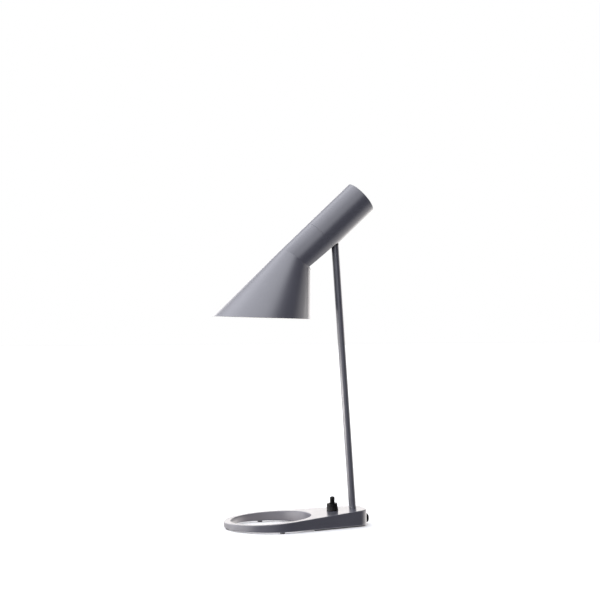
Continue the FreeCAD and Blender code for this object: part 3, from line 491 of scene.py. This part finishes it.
def rear_places():
    """Places of the rows of the rear tube, close together where the opening's edge curves."""
    places = [0.0, SEAM_CHAMFER]
    places += [SLOT_REAR * i / TUBE_ROWS for i in range(1, TUBE_ROWS)]
    for i in range(ARC_ROWS):
        places.append(SLOT_REAR + SLOT_HALF * (1 - math.cos(math.pi / 2 * i / ARC_ROWS)))
    mouth_start = MOUTH_AT - math.sqrt(MOUTH_R ** 2 - SLOT_HALF ** 2)
    for i in range(ARC_ROWS + 1):
        part = 1 - math.cos(math.pi / 2 * i / ARC_ROWS)
        places.append(mouth_start + (MOUTH_AT - mouth_start) * part)
    return sorted(places) + [SEAM - SEAM_CHAMFER, SEAM]


def rear_grid(head, radius, chamfer):
    places = rear_places()
    rows = []
    for s in places:
        half = math.asin(slot_half_width(s) / TUBE_R)
        r = radius - chamfer if s in (0.0, SEAM) else radius
        rows.append([head.on_tube(r, half + (2 * math.pi - 2 * half) * j / ROUND_COLUMNS, s)
                     for j in range(ROUND_COLUMNS + 1)])
    return rows


def build_rear_tube(materials):
    head = HeadFrame()
    outer = rear_grid(head, TUBE_R, SEAM_CHAMFER)
    inner = rear_grid(head, TUBE_R - SHEET_T, 0.0)

    def present(i, j):
        return j < ROUND_COLUMNS

    def studs(mesh):
        """Pins from the middle of the sheet inwards."""
        top = TUBE_R - 0.5 * SHEET_T
        profile = [(0, STUD_END), (STUD_R * STUD_TIP_SHARE, STUD_END),
                   (STUD_R, STUD_END + STUD_CHAMFER), (STUD_R, top), (0, top)]
        axes = Matrix((head.down, Vector((0, 1, 0)), head.away)).transposed().to_4x4()
        for s in STUDS:
            place = Matrix.Translation(head.point(0, 0, s)) @ axes
            lathe(mesh, profile, place, STUD_STEPS)

    mesh = shell_mesh("rear_sleeve", outer, inner, present, [studs])
    piece = add_piece("rear_sleeve", mesh, "head",
                      [materials["grey_paint"], materials["grey_paint"]])
    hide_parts("rear_tube")


# ---- Switch, cord gland and feet ----

def arc(centre_r, centre_h, radius, start, end, steps):
    """Profile points round an arc; angles in degrees from the outward direction."""
    points = []
    for i in range(steps + 1):
        turn = math.radians(start + (end - start) * i / steps)
        points.append((centre_r + radius * math.cos(turn), centre_h + radius * math.sin(turn)))
    return points


def on_base(x, height=0.0):
    """A frame on the base's sloping top: z square to it."""
    lean = Matrix.Rotation(-SLOPE, 4, "Y")
    at = Vector((x, 0, TOP_AT_RING + (x - RING_X) * math.tan(SLOPE)))
    return Matrix.Translation(at) @ lean @ Matrix.Translation((0, 0, height))


def ribbed(turn, radius, height):
    """Fine upright ribs between a plain foot and a plain top edge."""
    if NUT_RIB_LOW < height < NUT_RIB_HIGH and radius > SWITCH_MOUTH_R + NUT_BORE_MARGIN:
        return radius - NUT_RIB_DEPTH * (0.5 + 0.5 * math.cos(NUT_RIBS * turn))
    return radius


def build_switch_nut(materials):
    low, high = SWITCH_NUT_LOW_R, SWITCH_NUT_TOP_R
    side = [(low + (high - low) * h / SWITCH_NUT_H, h)
            for h in (NUT_FOOT_CHAMFER, 2 * NUT_FOOT_CHAMFER,
                      NUT_RIB_LOW, NUT_RIB_LOW + NUT_RIB_RUN,
                      NUT_RIB_HIGH - NUT_RIB_RUN, NUT_RIB_HIGH, SWITCH_NUT_H - NUT_EDGE)]
    profile = [(SWITCH_BUSH_R, 0.0), (low - NUT_FOOT_CHAMFER, 0.0)] + side
    edge_h = SWITCH_NUT_H - NUT_EDGE
    profile += arc(high - NUT_EDGE, edge_h, NUT_EDGE, 15, 90, EDGE_STEPS)
    profile += arc(SWITCH_MOUTH_R + NUT_EDGE, edge_h, NUT_EDGE, 90, 180, EDGE_STEPS)
    profile += [(SWITCH_MOUTH_R, SWITCH_BUSH_TOP), (SWITCH_BUSH_R, SWITCH_BUSH_TOP),
                (SWITCH_BUSH_R, 0.0)]
    piece = turned_piece("switch_ring_nut", profile, on_base(SWITCH_X), "base",
                         materials["black_plastic"], NUT_RIBS * RIB_COLUMNS, ribbed)
    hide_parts("switch_nut")


def build_switch_lever(materials):
    """Ball, bat with a domed tip, and tail, turned as one."""
    tip_centre = LEVER_TIP_H - LEVER_PIVOT_H - LEVER_DOME
    neck = SWITCH_NUT_H - LEVER_PIVOT_H
    meet = math.degrees(math.asin(LEVER_LOW_R / LEVER_BALL_R))
    tail_meet = math.degrees(math.asin(LEVER_TAIL_R / LEVER_BALL_R))
    profile = [(0, -LEVER_TAIL), (LEVER_TAIL_R * LEVER_TAIL_SHARE, -LEVER_TAIL),
               (LEVER_TAIL_R, -LEVER_TAIL + LEVER_TAIL_CHAMFER)]
    profile += arc(0, 0, LEVER_BALL_R, -90 + tail_meet, 90 - meet, BALL_STEPS)
    profile += [(LEVER_NECK_R - LEVER_NECK_STEP, neck - LEVER_NECK_FALL), (LEVER_NECK_R, neck)]
    profile += [(LEVER_NECK_R + (LEVER_TIP_R - LEVER_NECK_R) * i / NECK_ROWS,
                 neck + (tip_centre - neck) * i / NECK_ROWS) for i in range(1, NECK_ROWS)]
    for i in range(LEVER_DOME_STEPS + 1):
        turn = math.radians(90 * i / LEVER_DOME_STEPS)
        radius = LEVER_TIP_R * math.cos(turn) ** LEVER_DOME_POWER if i < LEVER_DOME_STEPS else 0
        profile.append((radius, tip_centre + LEVER_DOME * math.sin(turn)))
    place = on_base(SWITCH_X, LEVER_PIVOT_H) @ Matrix.Rotation(LEVER_LEAN, 4, "X")
    piece = turned_piece("switch_bat", profile, place, "lever",
                         materials["black_plastic"], LEVER_STEPS)
    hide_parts("switch_lever")


def build_gland(materials):
    """A domed bush with a rounded mouth, and its shank inside the base."""
    root_r = GLAND_SHANK_R - GLAND_THREAD
    profile = [(GLAND_BORE_R, -GLAND_SHANK_IN), (root_r, -GLAND_SHANK_IN)]
    turns = int(GLAND_SHANK_IN / GLAND_PITCH) - 2
    for i in range(turns):
        start = -GLAND_SHANK_IN + GLAND_THREAD + i * GLAND_PITCH
        profile += [(GLAND_SHANK_R, start), (GLAND_SHANK_R, start + GLAND_PITCH * GLAND_CREST),
                    (root_r, start + GLAND_PITCH * GLAND_ROOT)]
    profile += [(GLAND_SHANK_R, -GLAND_PITCH), (GLAND_SHANK_R, 0), (GLAND_R - GLAND_EDGE, 0),
                (GLAND_R, GLAND_EDGE)]
    lip = GLAND_BORE_R + GLAND_LIP
    for i in range(GLAND_DOME_STEPS + 1):
        turn = math.radians(90 * i / GLAND_DOME_STEPS)
        profile.append((lip + (GLAND_R - lip) * math.cos(turn),
                        GLAND_STRAIGHT + (GLAND_OUT - GLAND_STRAIGHT) * math.sin(turn)))
    profile += arc(lip, GLAND_OUT - GLAND_LIP, GLAND_LIP, 90, 180, EDGE_STEPS)
    profile += [(GLAND_BORE_R, -GLAND_SHANK_IN)]
    place = Matrix.Translation((BASE_REAR_X, 0, GLAND_Z)) @ Matrix.Rotation(math.pi / 2, 4, "Y")
    piece = turned_piece("cord_bush", profile, place, "base",
                         materials["black_plastic"], GLAND_STEPS)
    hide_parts("cord_gland")


def build_feet(materials):
    """Round rubber feet with a shallow dished sole."""
    low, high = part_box("feet")
    edge = FOOT_R - FOOT_ROUND
    profile = [(0, FOOT_DISH[0][1])] + [(edge * share, height) for share, height in FOOT_DISH]
    profile += arc(edge, FOOT_ROUND, FOOT_ROUND, -90, 0, EDGE_STEPS)
    profile += [(FOOT_R, high.z - low.z), (0, high.z - low.z)]
    mesh = bmesh.new()
    for x, y in ((RING_X, RING_MID_R), (RING_X, -RING_MID_R), (RING_X - RING_MID_R, 0.0),
                 (REAR_FOOT_X, REAR_FOOT_Y), (REAR_FOOT_X, -REAR_FOOT_Y)):
        lathe(mesh, profile, Matrix.Translation((x, y, low.z)), FOOT_STEPS)
    piece = add_piece("rubber_feet", mesh_data("rubber_feet", mesh), "base",
                      [materials["rubber"]])
    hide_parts("feet")


# ---- Carried-over CAD nodes ----

def dress_nodes(frame, materials, replaced):
    slots = {part["node"]: part["material_slot"] for part in frame["record"]["subparts"]}
    for name, node in frame["nodes"].items():
        if name in replaced:
            continue
        node.data.materials.clear()
        node.data.materials.append(materials[slots[name]])
        for polygon in node.data.polygons:
            polygon.use_smooth = True
        node.data.set_sharp_from_angle(angle=NODE_SHARP)


# ---- Camera, floor and light ----

def direction(azimuth, elevation):
    """Both in degrees; azimuth is from +Y towards +X."""
    a, e = math.radians(azimuth), math.radians(elevation)
    return math.sin(a) * math.cos(e), math.cos(a) * math.cos(e), math.sin(e)


def aim(thing, at, towards):
    thing.location = at
    thing.rotation_mode = "QUATERNION"
    thing.rotation_quaternion = Vector(towards).to_track_quat("-Z", "Y")


def make_camera():
    data = bpy.data.cameras.new("camera")
    data.lens = CAMERA_LENS
    data.sensor_width = CAMERA_SENSOR
    camera = bpy.data.objects.new("camera", data)
    bpy.context.scene.collection.objects.link(camera)
    aim(camera, CAMERA_AT, direction(CAMERA_TURN, CAMERA_RISE))
    data.clip_end = CAMERA_REACH
    bpy.context.scene.camera = camera


def make_floor():
    mesh = bpy.data.meshes.new("floor")
    half = FLOOR_SIZE / 2
    corners = [(-half, -half, 0), (half, -half, 0), (half, half, 0), (-half, half, 0)]
    mesh.from_pydata(corners, [], [(0, 1, 2, 3)])
    floor = bpy.data.objects.new("floor", mesh)
    bpy.context.scene.collection.objects.link(floor)
    mesh.materials.append(finish_material(
        "pale floor", (0.80, 0.80, 0.80), (0.82, 0.82, 0.82), (0.55, 0.65), 60, 0.00002,
        patch=2, Emission_Color=(1, 1, 1, 1), Emission_Strength=FLOOR_GLOW))
    # the world below the horizon stands for the lit floor in reflections and bounce
    floor.visible_diffuse = False
    floor.visible_glossy = False
    floor.visible_shadow = False


def hidden_light(name, shape, at, towards, size, power, colour):
    """An area light that the camera doesn't see; size is its width and height."""
    data = bpy.data.lights.new(name, "AREA")
    data.shape = shape
    data.size, data.size_y = size
    data.energy = power
    data.color = colour
    light = bpy.data.objects.new(name, data)
    bpy.context.scene.collection.objects.link(light)
    light.visible_camera = False
    aim(light, at, towards)


def make_lights():
    """The lit floor inside the ring's hole, and a low screen that the stem's side mirrors."""
    width = 2 * RING_FLOOR_R
    hidden_light("floor in the ring", "DISK", (RING_X, 0, RING_FLOOR_Z), (0, 0, 1),
                 (width, width), RING_FLOOR_POWER, RING_FLOOR_COLOUR)
    hidden_light("low screen", "RECTANGLE", SCREEN_AT, SCREEN_FACING, SCREEN_SIZE,
                 SCREEN_POWER, WARM)


class WorldTree:
    """Node shorthand for light that depends on where it comes from."""

    def __init__(self, tree):
        self.tree = tree
        tree.nodes.clear()
        self.way = node_at(tree, "ShaderNodeTexCoord", -1400, 0).outputs["Generated"]

    def smooth(self, value, start, end, low=0.0, high=1.0):
        node = node_at(self.tree, "ShaderNodeMapRange", -900, 0)
        node.interpolation_type = "SMOOTHSTEP"
        for socket, number in zip(("From Min", "From Max", "To Min", "To Max"),
                                  (start, end, low, high)):
            node.inputs[socket].default_value = number
        self.tree.links.new(value, node.inputs["Value"])
        return node.outputs["Result"]

    def towards(self, azimuth, elevation):
        node = node_at(self.tree, "ShaderNodeVectorMath", -1150, 0, operation="DOT_PRODUCT")
        node.inputs[1].default_value = direction(azimuth, elevation)
        self.tree.links.new(self.way, node.inputs[0])
        return node.outputs["Value"]

    def combine(self, operation, first, second):
        node = node_at(self.tree, "ShaderNodeMath", -600, 0, operation=operation)
        for socket, value in zip(node.inputs, (first, second)):
            if isinstance(value, float):
                socket.default_value = value
            else:
                self.tree.links.new(value, socket)
        return node.outputs["Value"]


def make_world():
    """A white studio: soft boxes as cones of directions, and bands between two heights."""
    world = bpy.data.worlds.new("studio")
    bpy.context.scene.world = world
    world.use_nodes = True
    tree = world.node_tree
    sky = WorldTree(tree)
    total = None
    for box in SOFT_BOXES:
        azimuth, elevation, edge, full, low, low_full, high_full, high, strength, tint = box
        across = sky.smooth(sky.towards(azimuth, elevation), math.cos(math.radians(edge)),
                            math.cos(math.radians(full)))
        height = sky.towards(0, 90)
        rising = sky.smooth(height, low, low_full)
        falling = sky.smooth(height, high_full, high, 1.0, 0.0)
        part = sky.combine("MULTIPLY", across, sky.combine("MULTIPLY", rising, falling))
        add = node_at(tree, "ShaderNodeVectorMath", -400, 0, operation="MULTIPLY_ADD")
        tree.links.new(part, add.inputs[0])
        add.inputs[1].default_value = [strength * c for c in tint]
        if total is None:
            add.inputs[2].default_value = (FILL, FILL, FILL)
        else:
            tree.links.new(total, add.inputs[2])
        total = add.outputs["Vector"]
    seen = node_at(tree, "ShaderNodeLightPath", -400, 300)
    mix = node_at(tree, "ShaderNodeMix", -200, 100)
    mix.data_type = "RGBA"
    tree.links.new(seen.outputs["Is Camera Ray"], mix.inputs[MIX_FACTOR])
    tree.links.new(total, mix.inputs[MIX_A])
    mix.inputs[MIX_B].default_value = (BACKDROP, BACKDROP, BACKDROP, 1)
    background = node_at(tree, "ShaderNodeBackground", 0, 0)
    tree.links.new(mix.outputs[MIX_RESULT], background.inputs["Color"])
    output = node_at(tree, "ShaderNodeOutputWorld", 200, 0)
    tree.links.new(background.outputs["Background"], output.inputs["Surface"])


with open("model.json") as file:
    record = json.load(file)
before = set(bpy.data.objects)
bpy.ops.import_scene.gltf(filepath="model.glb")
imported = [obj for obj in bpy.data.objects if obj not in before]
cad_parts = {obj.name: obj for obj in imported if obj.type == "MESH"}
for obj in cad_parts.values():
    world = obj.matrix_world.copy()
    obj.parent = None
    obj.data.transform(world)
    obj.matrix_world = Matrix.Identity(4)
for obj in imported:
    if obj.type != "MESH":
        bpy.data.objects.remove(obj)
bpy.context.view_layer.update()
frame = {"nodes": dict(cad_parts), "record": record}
materials = make_materials()
replaced = ["shade", "rear_tube", "switch_nut", "switch_lever", "cord_gland", "feet"]
build_shade(materials)
build_rear_tube(materials)
build_switch_nut(materials)
build_switch_lever(materials)
build_gland(materials)
build_feet(materials)
dress_nodes(frame, materials, replaced)
make_camera()
make_floor()
make_lights()
make_world()
bpy.context.scene.view_settings.view_transform = "Standard"
